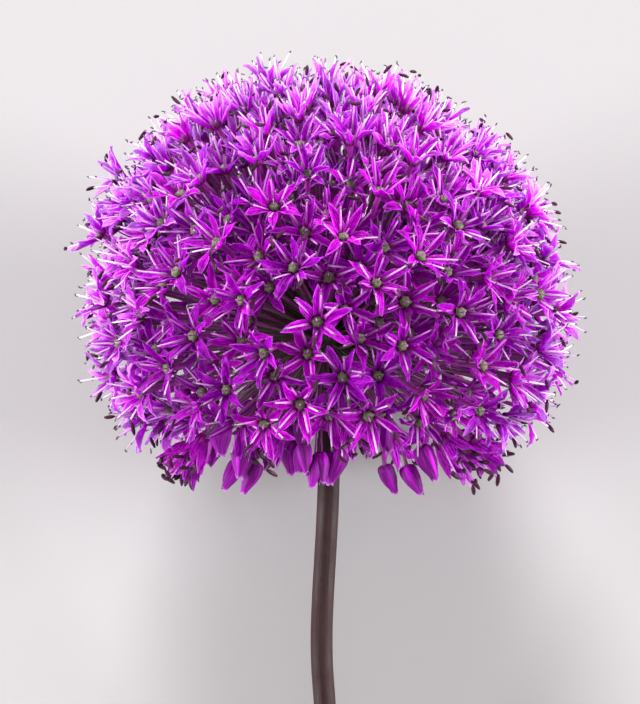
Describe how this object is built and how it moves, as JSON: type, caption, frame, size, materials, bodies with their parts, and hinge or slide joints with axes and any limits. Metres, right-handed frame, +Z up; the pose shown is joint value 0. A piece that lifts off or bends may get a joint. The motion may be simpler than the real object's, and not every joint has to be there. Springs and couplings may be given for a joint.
{
  "type": "allium flower head",
  "caption": "Globe-shaped flower head of small purple star florets on thin stalks that radiate from the top of one bare stem, laid on its side.",
  "frame": {"origin": "on the surface that the flower lies on, under the middle of its bounding box", "axes": "+Z up from the surface, +Y from the stem's cut end towards the crown of the head, +X to the right as seen from above with the crown away from the viewer"},
  "size_m": [0.109, 0.2034, 0.1049],
  "materials": {
    "scape": "smooth waxy skin, dark purplish brown",
    "umbel": "soft thin petals, bright purple with paler tips"
  },
  "bodies": {
    "root": {"scape": "scape", "umbel": "umbel"}
  },
  "joints": []
}
